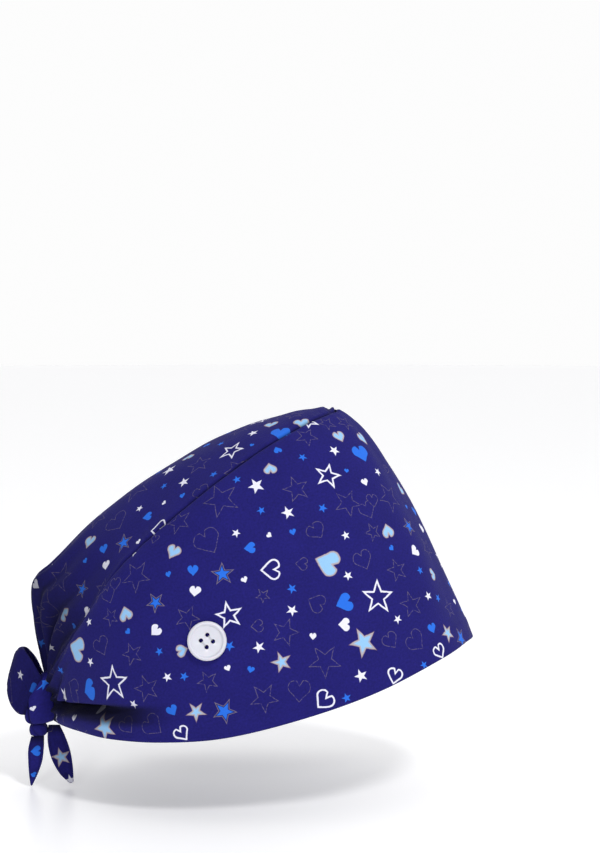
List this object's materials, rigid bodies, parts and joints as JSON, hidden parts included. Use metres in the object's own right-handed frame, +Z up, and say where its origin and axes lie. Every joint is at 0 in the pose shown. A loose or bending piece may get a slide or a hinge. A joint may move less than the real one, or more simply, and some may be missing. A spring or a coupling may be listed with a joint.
{
  "type": "surgical scrub cap",
  "caption": "Tie-back surgical scrub cap in printed cotton, with a button above each ear and a short tied bow at the nape.",
  "frame": {"origin": "centre of the head opening at the height of the rim, where a head's crown line carries the cap", "axes": "+X towards the brow, +Y to the wearer's left, +Z up as worn"},
  "size_m": [0.2405, 0.1602, 0.1953],
  "materials": {
    "print_cloth": "navy cotton poplin with a print of small hearts and stars",
    "button_plastic": "white, softly glossy"
  },
  "bodies": {
    "root": {"band_panel": "print_cloth", "crown_panel": "print_cloth", "button_right": "button_plastic", "button_left": "button_plastic", "tie_knot": "print_cloth", "tie_collar": "print_cloth", "tie_loop": "print_cloth", "tie_tail_outer": "print_cloth", "tie_tail_inner": "print_cloth"}
  },
  "joints": []
}
